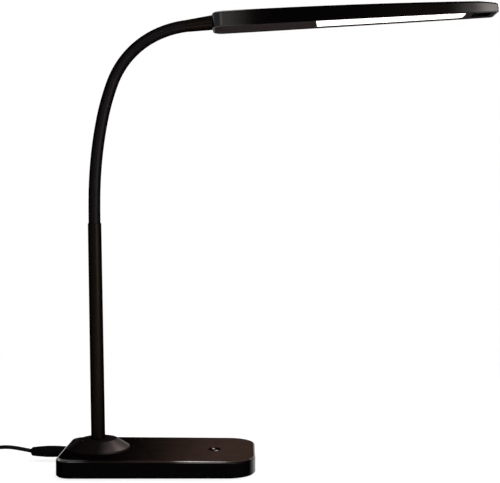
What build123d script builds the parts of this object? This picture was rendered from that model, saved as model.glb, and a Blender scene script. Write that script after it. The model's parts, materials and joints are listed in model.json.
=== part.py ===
from build123d import *
from math import atan2, cos, degrees, pi, radians, sin, tan
import os

os.makedirs("parts", exist_ok=True)

# Gooseneck LED desk lamp, in millimetres. The origin is the middle of the foot on the desk,
# +X runs towards the tip of the lamp head and +Z is up.

# ---------------------------------------------------------------- driving dimensions
foot_length = 176.0
foot_width = 100.0
foot_height_stem_end = 17.2
foot_height_touch_end = 15.8
foot_corner_stem_end = 14.0
foot_corner_touch_end = 25.0
foot_top_round = 2.2
foot_bottom_chamfer = 1.2
foot_wall = 2.4
pad_thickness = 1.0
pad_inset = 6.0
plate_thickness = 2.4
rib_length = 100.0
rib_height = 3.0
rib_y = 45.0
fit_gap = 0.2
weight_start = -34.0
weight_end = 58.0
weight_width = 86.0
weight_thickness = 5.4

dish_x = 50.5
dish_radius = 6.0
dish_depth = 1.2
port_radius = 3.4
boss_radius = 3.6
screw_radius = 1.3
screw_length = 8.0
screw_head_radius = 2.7
screw_head_height = 1.3
board_z = 10.6
board_thickness = 1.2
board_length = 40.0
board_width = 32.0
board_post_radius = 2.4
chip_height = 1.4
foil_radius = 7.0
foil_thickness = 0.2
leaf_half = 0.15
jack_length = 12.0
jack_side = 9.0
jack_bore_radius = 2.9
pin_radius = 1.0

stem_x = -56.4
stem_lean = 0.92
stem_top_z = 224.0
sleeve_foot_radius = 6.45
sleeve_top_radius = 6.15
sleeve_bore_radius = 4.6
ferrule_foot_radius = 28.6
ferrule_top_radius = 16.8
ferrule_height = 9.0
ferrule_rim = 1.2
nipple_radius = sleeve_bore_radius
nipple_bore = 3.0
nipple_drop = 9.5
nipple_rise = 22.0
stem_hole_gap = 0.3
sleeve_foot = 1.6
root_depth = 24.0
washer_radius = 11.0
washer_thickness = 1.2
stem_nut_apothem = 7.0
stem_nut_height = 3.2

skin_radius = 5.45
core_radius = 4.2
core_bore = 2.4
core_gap = 2.0
skin_slack = 0.3
collar_gap = 0.08
seam_gap = 0.2
lead_radius = 0.9

collar_length = 24.3
collar_head_radius = 6.75
collar_spigot_radius = 3.4
collar_spigot_length = 6.5
collar_spigot_wall = 1.4
collar_nut_apothem = 4.5
collar_nut_height = 3.0

head_x = 49.0
head_z = 400.8
head_tilt = 3.3
head_length = 261.0
head_width_neck = 36.0
head_width_tip = 26.0
head_bow = 0.8
head_height_neck = 13.9
head_height_middle = 13.15
head_height_nose = 10.55
head_nose_length = 21.0
head_nose_drop = 2.7
head_corner_neck = 9.5
head_corner_tip = 3.2
head_top_round = 2.2
head_rim_chamfer = 0.4
head_wall = 1.8
bezel_recess = 0.4
bezel_thickness = 2.0
window_start = 94.0
window_end = 232.0
window_skew = 3.0
window_lip = 1.5
window_corner = 4.5
diffuser_flange = 1.2
led_board_thickness = 1.2
led_board_top = 8.0
led_rows = 14
led_height = 0.8

plug_y = 24.0
plug_z = 8.4
plug_length = 35.5
plug_front_radius = 4.7
plug_waist_radius = 5.3
plug_waist = 12.0
plug_rear_radius = 4.0
barrel_radius = 2.75
barrel_bore = 1.2
barrel_root = 4.0
barrel_reach = 9.5
cord_diameter = 3.7
cord_radius = cord_diameter / 2
coil_radius = 22.2
coil_wide = 3
coil_high = 4
coil_turns = 10
coil_x = -190.0
tail_end = -221.0
gland_length = 8.0
adapter_length = 46.0
adapter_width = 32.0
adapter_height = 22.0
prong_length = 16.0
prong_pitch = 12.7

# ---------------------------------------------------------------- foot
foot_end = foot_length / 2
plate_top_z = pad_thickness + plate_thickness
top_slope = degrees(atan2(foot_height_stem_end - foot_height_touch_end, foot_length))
top_middle_z = (foot_height_stem_end + foot_height_touch_end) / 2
foot_top = Plane(origin=(0, 0, top_middle_z), z_dir=(sin(radians(top_slope)), 0, cos(radians(top_slope))))
boss_spots = [(-70, -34), (-70, 38), (66, -32), (66, 32)]
board_x = 43.0
board_posts = [(board_x - 17, -12), (board_x - 17, 12), (board_x + 17, -12), (board_x + 17, 12)]


def top_z(x):
    """Height of the foot's sloping top face at x."""
    return top_middle_z - x * tan(radians(top_slope))


def foot_outline(inset):
    """Plan of the foot, drawn smaller all round by inset."""
    with BuildSketch(mode=Mode.PRIVATE) as outline:
        Rectangle(foot_length - 2 * inset, foot_width - 2 * inset)
        fillet(outline.vertices().sort_by(Axis.X)[:2], radius=foot_corner_stem_end - inset)
        fillet(outline.vertices().sort_by(Axis.X)[-2:], radius=foot_corner_touch_end - inset)
    return outline.sketch


def foot_form(inset):
    """Block of the foot with its sloping top, drawn smaller by inset on its sides and top."""
    with BuildPart(mode=Mode.PRIVATE) as form:
        with BuildSketch(Plane.XY.offset(pad_thickness)):
            add(foot_outline(inset))
        extrude(amount=foot_height_stem_end)
        split(bisect_by=foot_top.offset(-inset), keep=Keep.BOTTOM)
    return form.part


dish_ball = (dish_radius**2 + dish_depth**2) / (2 * dish_depth)
boss_top_z = top_middle_z - foot_wall / 2

with BuildPart() as foot_cover:
    add(foot_form(0))
    fillet(foot_cover.faces().sort_by(Axis.Z)[-1].edges(), radius=foot_top_round)
    chamfer(foot_cover.faces().sort_by(Axis.Z)[0].edges(), length=foot_bottom_chamfer)
    add(foot_form(foot_wall), mode=Mode.SUBTRACT)
    # bosses for the plate screws and posts for the board hang from the ceiling
    with BuildSketch(Plane.XY.offset(plate_top_z)):
        with Locations(*boss_spots):
            Circle(boss_radius)
    extrude(amount=boss_top_z - plate_top_z)
    with BuildSketch(Plane.XY.offset(board_z + board_thickness)):
        with Locations(*board_posts):
            Circle(board_post_radius)
    extrude(amount=boss_top_z - board_z - board_thickness)
    with BuildSketch(Plane.XY.offset(plate_top_z)):
        with Locations(*boss_spots):
            Circle(screw_radius)
    extrude(amount=screw_length - screw_radius, mode=Mode.SUBTRACT)
    # stem hole, power port and the dished touch spot
    with Locations((stem_x, 0, foot_height_stem_end)):
        Cylinder(nipple_radius + stem_hole_gap, 4 * foot_wall, mode=Mode.SUBTRACT)
    with Locations(Location((-foot_end, plug_y, plug_z), (0, 90, 0))):
        Cylinder(port_radius, 4 * foot_wall, mode=Mode.SUBTRACT)
    with Locations((dish_x, 0, top_z(dish_x) - dish_depth + dish_ball)):
        Sphere(dish_ball, mode=Mode.SUBTRACT)
foot_cover.part.label = "foot_cover"
export_step(foot_cover.part, "parts/foot_cover.step")

with BuildPart() as foot_plate:
    with BuildSketch(Plane.XY.offset(pad_thickness)):
        add(foot_outline(foot_wall + fit_gap))
    extrude(amount=plate_thickness)
    # stiffening ribs along the long edges, clear of the weight
    with BuildSketch(Plane.XY.offset(plate_top_z)):
        with Locations((0, rib_y), (0, -rib_y)):
            Rectangle(rib_length, 1.6)
    extrude(amount=rib_height)
    with Locations(*[Location((x, y, pad_thickness), (180, 0, 0)) for x, y in boss_spots]):
        CounterSinkHole(1.7, screw_head_radius + fit_gap, plate_thickness)
foot_plate.part.label = "foot_plate"
export_step(foot_plate.part, "parts/foot_plate.step")

with BuildPart() as foot_screws:
    with Locations(*[(x, y, pad_thickness) for x, y in boss_spots]):
        Cone(screw_head_radius, 1.5, screw_head_height, align=(Align.CENTER, Align.CENTER, Align.MIN))
        Cylinder(screw_radius, screw_length, align=(Align.CENTER, Align.CENTER, Align.MIN))
foot_screws.part.label = "foot_screws"
export_step(foot_screws.part, "parts/foot_screws.step")

with BuildPart() as foot_pad:
    with BuildSketch():
        add(foot_outline(pad_inset))
    extrude(amount=pad_thickness)
foot_pad.part.label = "foot_pad"
export_step(foot_pad.part, "parts/foot_pad.step")

with BuildPart() as foot_weight:
    with BuildSketch(Plane.XY.offset(plate_top_z)) as weight_plan:
        with Locations(((weight_start + weight_end) / 2, 0)):
            Rectangle(weight_end - weight_start, weight_width)
        chamfer(weight_plan.vertices(), length=6)
    extrude(amount=weight_thickness)
    fillet(foot_weight.edges().filter_by(Axis.Z), radius=1.5)
foot_weight.part.label = "foot_weight"
export_step(foot_weight.part, "parts/foot_weight.step")

# ---------------------------------------------------------------- electronics in the foot
board_top_z = board_z + board_thickness
with BuildPart() as control_board:
    with BuildSketch(Plane.XY.offset(board_z)):
        with Locations((board_x, 0)):
            RectangleRounded(board_length, board_width, 1.5)
        with Locations(*board_posts):
            Circle(1.1, mode=Mode.SUBTRACT)
    extrude(amount=board_thickness)
control_board.part.label = "control_board"
export_step(control_board.part, "parts/control_board.step")

with BuildPart() as board_chips:
    with BuildSketch(Plane.XY.offset(board_top_z)):
        with Locations((board_x - 6, 4)):
            Rectangle(6, 5)
        with Locations((board_x - 11, -7)):
            Rectangle(5, 5)
        with Locations((board_x - 3, -8)):
            Rectangle(3, 2)
    extrude(amount=chip_height)
board_chips.part.label = "board_chips"
export_step(board_chips.part, "parts/board_chips.step")

with BuildPart() as board_screws:
    with Locations(*[(x, y, board_z) for x, y in board_posts]):
        Cylinder(1.9, 1.2, align=(Align.CENTER, Align.CENTER, Align.MAX))
        Cylinder(1.0, board_thickness, align=(Align.CENTER, Align.CENTER, Align.MIN))
board_screws.part.label = "board_screws"
export_step(board_screws.part, "parts/board_screws.step")

# the electrode is a foil disc under the ceiling, and a leaf spring on the board presses on it
ceiling_z = top_z(dish_x) - foot_wall
electrode_z = ceiling_z - foil_thickness - leaf_half
with BuildPart() as touch_electrode:
    with Locations((dish_x, 0, electrode_z)):
        Cylinder(foil_radius, foil_thickness, align=(Align.CENTER, Align.CENTER, Align.MIN))
touch_electrode.part.label = "touch_electrode"
export_step(touch_electrode.part, "parts/touch_electrode.step")

leaf_foot_z = board_top_z + leaf_half
leaf_top_z = electrode_z - 2 * leaf_half
with BuildPart() as touch_spring:
    with BuildSketch(Plane.XZ):
        with BuildLine():
            Polyline(
                (dish_x + 4, leaf_foot_z),
                (dish_x - 2, leaf_foot_z),
                (dish_x + 2.5, leaf_top_z),
                (dish_x - 1, leaf_top_z + leaf_half),
            )
            offset(amount=leaf_half, side=Side.BOTH)
        make_face()
    extrude(amount=1.5, both=True)
touch_spring.part.label = "touch_spring"
export_step(touch_spring.part, "parts/touch_spring.step")

jack_front = -foot_end + foot_wall
with BuildPart() as power_jack:
    with BuildSketch(Plane(origin=(jack_front, plug_y, plug_z), x_dir=(0, 1, 0), z_dir=(1, 0, 0))):
        Rectangle(jack_side, jack_side)
    extrude(amount=jack_length)
    fillet(power_jack.edges().filter_by(Axis.X), radius=0.8)
    with Locations(Location((jack_front, plug_y, plug_z), (0, 90, 0))):
        Cylinder(port_radius - 0.1, 2 * (foot_wall - 0.3))
        Cylinder(jack_bore_radius, 1.5 * jack_length, mode=Mode.SUBTRACT)
        Cylinder(pin_radius, 4 * jack_length, mode=Mode.SUBTRACT)
power_jack.part.label = "power_jack"
export_step(power_jack.part, "parts/power_jack.step")

jack_back = jack_front + jack_length
with BuildPart() as jack_pin:
    with Locations(Location((jack_back + 2, plug_y, plug_z), (0, -90, 0))):
        Cylinder(2.0, 2, align=(Align.CENTER, Align.CENTER, Align.MIN))
        Cylinder(pin_radius, jack_length + 1, align=(Align.CENTER, Align.CENTER, Align.MIN))
jack_pin.part.label = "jack_pin"
export_step(jack_pin.part, "parts/jack_pin.step")

# ---------------------------------------------------------------- stem
lean = radians(stem_lean)
stem_up = Vector(-sin(lean), 0, cos(lean))
stem_foot = Plane(origin=(stem_x, 0, top_z(stem_x)), x_dir=(cos(lean), 0, sin(lean)), z_dir=stem_up)
stem_length = (stem_top_z - top_z(stem_x)) / cos(lean)

with BuildPart() as stem_ferrule:
    with BuildSketch(Plane(origin=stem_foot.origin, x_dir=stem_foot.x_dir, z_dir=(0, -1, 0))):
        with BuildLine():
            Polyline(
                (nipple_radius + stem_hole_gap, -2),
                (ferrule_foot_radius, -2),
                (ferrule_foot_radius, ferrule_rim),
                (ferrule_top_radius, ferrule_height),
                (sleeve_foot_radius + fit_gap, ferrule_height),
                (sleeve_foot_radius + fit_gap, sleeve_foot),
                (nipple_radius + stem_hole_gap, sleeve_foot),
                close=True,
            )
        make_face()
    revolve(axis=Axis(stem_foot.origin, stem_up))
    split(bisect_by=foot_top, keep=Keep.TOP)
    rings = stem_ferrule.edges().filter_by(GeomType.CIRCLE)
    chamfer(rings.filter_by(lambda e: abs(e.radius - ferrule_top_radius) < 0.01), length=0.7)
stem_ferrule.part.label = "stem_ferrule"
export_step(stem_ferrule.part, "parts/stem_ferrule.step")

with BuildPart() as stem_sleeve:
    with BuildSketch(stem_foot.offset(sleeve_foot)):
        Circle(sleeve_foot_radius)
    with BuildSketch(stem_foot.offset(stem_length)):
        Circle(sleeve_top_radius)
    loft()
    chamfer(stem_sleeve.faces().sort_by(Axis.Z)[-1].edges(), length=0.6)
    # wide bore for the nipple and the lead, and a close seat at the top for the root of the core
    with BuildSketch(stem_foot.offset(sleeve_foot)):
        Circle(sleeve_bore_radius)
    extrude(amount=stem_length - root_depth - sleeve_foot, mode=Mode.SUBTRACT)
    with BuildSketch(stem_foot.offset(stem_length)):
        Circle(core_radius)
    extrude(amount=-root_depth, mode=Mode.SUBTRACT)
stem_sleeve.part.label = "stem_sleeve"
export_step(stem_sleeve.part, "parts/stem_sleeve.step")

with BuildPart() as stem_nipple:
    with BuildSketch(stem_foot.offset(-nipple_drop)):
        Circle(nipple_radius)
        Circle(nipple_bore, mode=Mode.SUBTRACT)
    extrude(amount=nipple_drop + nipple_rise)
    chamfer(stem_nipple.faces().sort_by(Axis.Z)[0].outer_wire().edges(), length=0.5)
stem_nipple.part.label = "stem_nipple"
export_step(stem_nipple.part, "parts/stem_nipple.step")

# washer and nut pull the nipple down against the foot's ceiling
washer_top = foot_wall + 0.45
with BuildPart() as stem_washer:
    with BuildSketch(stem_foot.offset(-washer_top)):
        Circle(washer_radius)
        Circle(nipple_radius + 0.15, mode=Mode.SUBTRACT)
    extrude(amount=-washer_thickness)
stem_washer.part.label = "stem_washer"
export_step(stem_washer.part, "parts/stem_washer.step")

with BuildPart() as stem_nut:
    with BuildSketch(stem_foot.offset(-washer_top - washer_thickness)):
        RegularPolygon(stem_nut_apothem, 6, major_radius=False)
        Circle(nipple_radius, mode=Mode.SUBTRACT)
    extrude(amount=-stem_nut_height)
stem_nut.part.label = "stem_nut"
export_step(stem_nut.part, "parts/stem_nut.step")

# ---------------------------------------------------------------- gooseneck
# The neck's line is a chain of tangent arcs, (length, bend in degrees) each, with a joint at every
# mid-arc. Its tubes are straight from joint to seam and from seam to joint, mitred where they turn.
knuckles = [(22, 1.3), (38, 5.3), (37, 5.8), (33, 8.6), (30, 21.4), (29, 21.2), (31, 19.8)]
neck_foot = stem_foot.origin + stem_up * stem_length


def along_arc(point, heading, length, bend):
    """Point and heading at the end of an arc, for headings measured up from +X."""
    chord = length * sin(radians(bend / 2)) / radians(bend / 2)
    direction = radians(heading - bend / 2)
    return point + Vector(cos(direction), 0, sin(direction)) * chord, heading - bend


def heading_vector(heading):
    """Unit vector in the lamp's plane at a heading measured up from +X."""
    return Vector(cos(radians(heading)), 0, sin(radians(heading)))


joints, seams = [], [Plane(origin=neck_foot, z_dir=stem_up)]
point, heading = neck_foot, 90 + stem_lean
for length, bend in knuckles:
    point, heading = along_arc(point, heading, length / 2, bend / 2)
    joints.append(point)
    point, heading = along_arc(point, heading, length / 2, bend / 2)
    seams.append(Plane(origin=point, z_dir=heading_vector(heading)))
neck_end = seams[-1].origin
collar_along = seams[-1].z_dir
collar_across = heading_vector(heading + 90)


def toward(start, end, distance):
    """Point at a distance from start on the way to end."""
    return start + (end - start).normalized() * distance


def neck_tube(points, outer, inner):
    """Tube of straight lengths through points, mitred at the turns, and solid if inner is 0."""
    with BuildPart(mode=Mode.PRIVATE) as tube:
        with BuildLine() as path:
            Polyline(*points)
        with BuildSketch(Plane(origin=points[0], x_dir=(0, 1, 0), z_dir=points[1] - points[0])):
            Circle(outer)
            if inner:
                Circle(inner, mode=Mode.SUBTRACT)
        sweep(path=path.line, transition=Transition.RIGHT)
    return tube.part


# skin sections grip the core below their joint and slide over it above the joint, and end on the seams
for index, joint in enumerate(joints):
    below, above = seams[index], seams[index + 1]
    run = [toward(below.origin, joint, -2), joint, toward(above.origin, joint, -2)]
    with BuildPart() as neck_skin:
        add(neck_tube(run, skin_radius, core_radius))
        add(neck_tube(run[1:], core_radius + skin_slack, 0), mode=Mode.SUBTRACT)
        split(bisect_by=below.offset(seam_gap / 2), keep=Keep.TOP)
        split(bisect_by=above.offset(-seam_gap / 2), keep=Keep.BOTTOM)
    neck_skin.part.label = f"neck_skin_{index + 1}"
    export_step(neck_skin.part, f"parts/neck_skin_{index + 1}.step")


def link_points(index):
    """Line of one moving length of the neck, from just past its own joint to short of the next."""
    points = [seams[index].origin]
    if index > 0:
        points.insert(0, toward(joints[index - 1], points[0], core_gap / 2))
    if index < len(joints):
        points.append(toward(joints[index], points[-1], core_gap / 2))
    return points


# core lengths of wound steel conduit: the first is rooted in the sleeve, the last ends in the collar
core_end = collar_length / 2
collar_seat = core_end + 0.4
for index in range(len(knuckles) + 1):
    run = link_points(index)
    if index == 0:
        run.insert(0, neck_foot - stem_up * root_depth)
    if index == len(knuckles):
        run.append(neck_end + collar_along * core_end)
    with BuildPart() as neck_core:
        add(neck_tube(run, core_radius, core_bore))
    neck_core.part.label = f"neck_core_{index + 1}"
    export_step(neck_core.part, f"parts/neck_core_{index + 1}.step")

# one length of the lamp lead runs inside each moving length of core
for index in range(1, len(knuckles) + 1):
    with BuildPart() as neck_lead:
        add(neck_tube(link_points(index), lead_radius, 0))
    neck_lead.part.label = f"neck_lead_{index}"
    export_step(neck_lead.part, f"parts/neck_lead_{index}.step")

# ---------------------------------------------------------------- lamp head
tilt = radians(head_tilt)
head_along = Vector(cos(tilt), 0, sin(tilt))
head_up = Vector(-sin(tilt), 0, cos(tilt))
head_origin = Vector(head_x, 0, head_z)
head_floor = Plane(origin=head_origin, x_dir=head_along, z_dir=head_up)
head_side = Plane(origin=head_origin, x_dir=head_along, z_dir=(0, -1, 0))
head_axis = Axis(head_origin, head_up)
nose_start = head_length - head_nose_length
led_board_spots = [(window_start + 6, 0), ((window_start + window_end) / 2 + 4.5, 0), (window_end - 4, 0)]

# the collar carries on along the end of the neck, and its spigot turns into the head's own line
spigot_reach = (head_origin - neck_end).dot(head_along) / collar_along.dot(head_along)
spigot_start = neck_end + collar_along * spigot_reach
spigot_place = Plane(origin=spigot_start, x_dir=(0, 1, 0), z_dir=head_along)


def head_width(along):
    """Straight-sided width of the head at a distance from its neck end."""
    return head_width_neck + (head_width_tip - head_width_neck) * along / head_length


def head_plan(inset):
    """Plan of the head on its floor plane, drawn smaller all round by inset."""
    neck_half = head_width_neck / 2
    tip_half = head_width_tip / 2
    middle_half = (neck_half + tip_half) / 2 + head_bow
    with BuildSketch(mode=Mode.PRIVATE) as plan:
        with BuildLine():
            Line((0, neck_half), (0, -neck_half))
            ThreePointArc((0, -neck_half), (head_length / 2, -middle_half), (head_length, -tip_half))
            Line((head_length, -tip_half), (head_length, tip_half))
            ThreePointArc((head_length, tip_half), (head_length / 2, middle_half), (0, neck_half))
        make_face()
        fillet(plan.vertices().sort_by(Axis.X)[:2], radius=head_corner_neck)
        fillet(plan.vertices().sort_by(Axis.X)[-2:], radius=head_corner_tip)
        if inset:
            offset(amount=-inset, kind=Kind.INTERSECTION)
    return plan.sketch


def window_plan(inset):
    """Plan of the light window on the head's floor plane, drawn smaller all round by inset."""
    lip = head_wall + fit_gap + window_lip + inset
    near, far = head_width(window_start) / 2 - lip, head_width(window_end) / 2 - lip
    with BuildSketch(mode=Mode.PRIVATE) as plan:
        with BuildLine():
            Polyline(
                (window_start + inset, -near),
                (window_end - inset, -far),
                (window_end - inset, far),
                (window_start + window_skew + inset, near),
                close=True,
            )
        make_face()
        fillet(plan.vertices().sort_by(Axis.X)[-2:], radius=window_corner)
    return plan.sketch


def head_form(inset):
    """Block of the head with its drooping crown, drawn smaller by inset on its sides and crown."""
    with BuildPart(mode=Mode.PRIVATE) as form:
        with BuildSketch(head_side):
            with BuildLine():
                crown = ThreePointArc(
                    (0, head_height_neck),
                    (head_length / 2, head_height_middle),
                    (nose_start, head_height_nose),
                )
                nose_end = (head_length, head_height_nose - head_nose_drop)
                TangentArc((nose_start, head_height_nose), nose_end, tangent=crown % 1)
                Polyline(nose_end, (head_length, -inset), (0, -inset), (0, head_height_neck))
            make_face()
            if inset:
                offset(amount=-inset, kind=Kind.INTERSECTION)
        extrude(amount=head_width_neck, both=True)
        with BuildSketch(head_floor):
            add(head_plan(inset))
        extrude(amount=2 * head_height_neck, mode=Mode.INTERSECT)
    return form.part


with BuildPart() as light_bosses:
    with BuildSketch(head_floor.offset(led_board_top)):
        with Locations(*led_board_spots):
            Circle(2.6)
    extrude(amount=head_height_neck)
    add(head_form(head_wall / 2), mode=Mode.INTERSECT)

with BuildPart() as head_housing:
    add(head_form(0))
    # round the crown's rim, leaving out the smooth line where the nose begins to droop
    crown_edges = head_housing.faces().filter_by(lambda f: f.normal_at().dot(head_up) > 0.9).edges()
    rim = crown_edges.filter_by(lambda e: not 10 < (e.center() - head_origin).dot(head_along) < nose_start + 1
                                or abs(e.center().Y) > 5)
    fillet(rim.sort_by(Axis.X), radius=head_top_round)
    chamfer(head_housing.faces().sort_by(head_axis)[0].edges(), length=head_rim_chamfer)
    add(head_form(head_wall), mode=Mode.SUBTRACT)
    # bosses for the light board, and the hole that the neck collar's spigot passes through
    add(light_bosses.part)
    with Locations(spigot_place):
        Cylinder(collar_spigot_radius + fit_gap / 2, 8, mode=Mode.SUBTRACT)
head_housing.part.label = "head_housing"
export_step(head_housing.part, "parts/head_housing.step")

bezel_top = bezel_recess + bezel_thickness
with BuildPart() as head_bezel:
    with BuildSketch(head_floor.offset(bezel_recess)):
        add(head_plan(head_wall + fit_gap))
    extrude(amount=bezel_thickness)
    with BuildSketch(head_floor):
        add(window_plan(0))
    extrude(amount=bezel_top, mode=Mode.SUBTRACT)
    # shallow panel let into the tip end
    with BuildSketch(head_floor):
        with Locations((head_length - 14, 0)):
            RectangleRounded(16, 15, 1.0)
    extrude(amount=bezel_recess + 0.7, mode=Mode.SUBTRACT)
head_bezel.part.label = "head_bezel"
export_step(head_bezel.part, "parts/head_bezel.step")

# the diffuser fills the window from behind, on a flange that rests on the bezel
with BuildPart() as head_diffuser:
    with BuildSketch(head_floor.offset(bezel_recess + 0.4)):
        add(window_plan(0.15))
    extrude(amount=bezel_thickness - 0.4)
    with BuildSketch(head_floor.offset(bezel_top)):
        add(window_plan(-diffuser_flange))
    extrude(amount=1.0)
head_diffuser.part.label = "head_diffuser"
export_step(head_diffuser.part, "parts/head_diffuser.step")

reflector_foot = bezel_top + 1.0
reflector_top = led_board_top - led_board_thickness
with BuildPart() as head_reflector:
    with BuildSketch(head_floor.offset(reflector_foot)):
        add(window_plan(-diffuser_flange))
        add(window_plan(0), mode=Mode.SUBTRACT)
    extrude(amount=reflector_top - reflector_foot)
head_reflector.part.label = "head_reflector"
export_step(head_reflector.part, "parts/head_reflector.step")

with BuildPart() as led_board:
    with BuildSketch(head_floor.offset(reflector_top)):
        add(window_plan(-diffuser_flange))
        with Locations(*led_board_spots):
            Circle(1.2, mode=Mode.SUBTRACT)
    extrude(amount=led_board_thickness)
led_board.part.label = "led_board"
export_step(led_board.part, "parts/led_board.step")

led_pitch = (window_end - window_start - 16) / (led_rows - 1)
with BuildPart() as led_chips:
    with BuildSketch(head_floor.offset(reflector_top - led_height)):
        with Locations(((window_start + window_end) / 2, 0)):
            with GridLocations(led_pitch, 9, led_rows, 2):
                Rectangle(2.8, 3.5)
    extrude(amount=led_height)
led_chips.part.label = "led_chips"
export_step(led_chips.part, "parts/led_chips.step")

with BuildPart() as led_board_screws:
    with Locations(*[head_floor * Location((x, y, reflector_top)) for x, y in led_board_spots]):
        Cylinder(2.0, 1.2, align=(Align.CENTER, Align.CENTER, Align.MAX))
        Cylinder(1.1, led_board_thickness, align=(Align.CENTER, Align.CENTER, Align.MIN))
led_board_screws.part.label = "led_board_screws"
export_step(led_board_screws.part, "parts/led_board_screws.step")

# ---------------------------------------------------------------- collar between neck and head
with BuildPart() as neck_collar:
    with BuildSketch(Plane(origin=neck_end, x_dir=collar_across, z_dir=(0, 1, 0))):
        with BuildLine():
            Polyline(
                (core_radius + collar_gap, seam_gap),
                (skin_radius - 0.3, seam_gap),
                (skin_radius, seam_gap + 0.3),
                (collar_head_radius, collar_length + 1.5),
                (0, collar_length + 1.5),
                (0, collar_seat),
                (core_radius + collar_gap, collar_seat),
                close=True,
            )
        make_face()
    revolve(axis=Axis(neck_end, collar_along))
    split(bisect_by=Plane(origin=head_origin, z_dir=head_along), keep=Keep.BOTTOM)
    # threaded spigot through the head's end wall, and the lead's bore from its end to the seat
    with BuildSketch(spigot_place):
        Circle(collar_spigot_radius)
    extrude(amount=collar_spigot_length)
    with BuildSketch(spigot_place.offset(collar_spigot_length)):
        Circle(collar_spigot_radius - collar_spigot_wall)
    extrude(amount=collar_seat - collar_length - collar_spigot_length - 1, mode=Mode.SUBTRACT)
neck_collar.part.label = "neck_collar"
export_step(neck_collar.part, "parts/neck_collar.step")

with BuildPart() as collar_nut:
    with BuildSketch(spigot_place.offset(head_wall + 0.1)):
        RegularPolygon(collar_nut_apothem, 6, major_radius=False)
        Circle(collar_spigot_radius, mode=Mode.SUBTRACT)
    extrude(amount=collar_nut_height)
collar_nut.part.label = "collar_nut"
export_step(collar_nut.part, "parts/collar_nut.step")

# ---------------------------------------------------------------- leads
with BuildPart() as foot_lead:
    with BuildLine() as route:
        FilletPolyline(
            (jack_back + 2.2, plug_y, plug_z),
            (jack_back + 10, plug_y, board_z - 0.4),
            (board_x - 36, plug_y - 10, board_z - 0.2),
            (board_x - 21, 8, board_z + 0.6),
            radius=5,
        )
    with BuildSketch(Plane(origin=route.line @ 0, z_dir=route.line % 0)):
        Circle(lead_radius)
    sweep()
foot_lead.part.label = "foot_lead"
export_step(foot_lead.part, "parts/foot_lead.step")

lead_bottom_z = 4.8
with BuildPart() as stem_lead:
    with BuildLine() as route:
        FilletPolyline(
            (board_x - 21, -6, board_z + 0.6),
            (stem_x + 22, -4, board_z - 0.6),
            (stem_x + 13, -2, lead_bottom_z),
            (stem_x + 0.2, 0, lead_bottom_z),
            neck_foot + stem_up * 9,
            radius=4,
        )
    with BuildSketch(Plane(origin=route.line @ 0, z_dir=route.line % 0)):
        Circle(lead_radius)
    sweep()
stem_lead.part.label = "stem_lead"
export_step(stem_lead.part, "parts/stem_lead.step")

with BuildPart() as head_lead:
    with BuildLine() as route:
        FilletPolyline(
            neck_end + collar_along * (core_end + 0.4),
            spigot_start,
            head_floor.from_local_coords((window_start - diffuser_flange - 0.2, 0, led_board_top - 0.9)),
            radius=20,
        )
    with BuildSketch(Plane(origin=route.line @ 0, z_dir=route.line % 0)):
        Circle(lead_radius)
    sweep()
head_lead.part.label = "head_lead"
export_step(head_lead.part, "parts/head_lead.step")

# ---------------------------------------------------------------- power plug
plug_rear = -foot_end - plug_length

with BuildPart() as plug_body:
    with BuildSketch(Plane.XZ.offset(-plug_y)):
        with BuildLine():
            Polyline(
                (-foot_end, plug_z),
                (-foot_end, plug_z + plug_front_radius),
                (-foot_end - plug_waist, plug_z + plug_waist_radius),
                (plug_rear + plug_waist, plug_z + plug_waist_radius),
                (plug_rear + 1.5, plug_z + plug_rear_radius),
                (plug_rear, plug_z + plug_rear_radius - 1.1),
                (plug_rear, plug_z),
                close=True,
            )
        make_face()
    revolve(axis=Axis((0, plug_y, plug_z), (1, 0, 0)))
    with Locations(Location((-foot_end, plug_y, plug_z), (0, -90, 0))):
        Cylinder(barrel_radius, 2 * barrel_root, mode=Mode.SUBTRACT)
plug_body.part.label = "plug_body"
export_step(plug_body.part, "parts/plug_body.step")

with BuildPart() as plug_barrel:
    with Locations(Location((-foot_end - barrel_root, plug_y, plug_z), (0, 90, 0))):
        Cylinder(barrel_radius, barrel_root + barrel_reach, align=(Align.CENTER, Align.CENTER, Align.MIN))
    with Locations(Location((-foot_end - barrel_root + 2, plug_y, plug_z), (0, 90, 0))):
        Cylinder(
            barrel_bore,
            barrel_root + barrel_reach,
            align=(Align.CENTER, Align.CENTER, Align.MIN),
            mode=Mode.SUBTRACT,
        )
plug_barrel.part.label = "plug_barrel"
export_step(plug_barrel.part, "parts/plug_barrel.step")

# ---------------------------------------------------------------- power cord
# Out of the plug the stiff cord makes a low hump, comes down to the desk and goes round the coil.
cord_route = [
    (plug_rear, plug_y, 8.9),
    (-133.0, plug_y, 10.9),
    (-147.0, plug_y, 13.0),
    (-161.0, plug_y, 11.2),
    (-171.0, plug_y, 5.0),
    (-180.0, plug_y, cord_radius),
    (-189.0, plug_y, cord_radius),
]
tail_z = (coil_high - 0.5) * cord_diameter
tail_route = [
    (coil_x + 1, plug_y, tail_z),
    (coil_x - 15, plug_y, tail_z + 0.1),
    (tail_end, plug_y, 11.4),
]


def corner_radii(points):
    """Bend radius at each corner of a cord's route, from its shorter run and its turn."""
    radii = []
    for before, corner, after in zip(points, points[1:], points[2:]):
        run_in = Vector(*corner) - Vector(*before)
        run_out = Vector(*after) - Vector(*corner)
        turn = radians(run_in.get_angle(run_out))
        radii.append(0.45 * min(run_in.length, run_out.length) / tan(turn / 2))
    return radii


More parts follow.
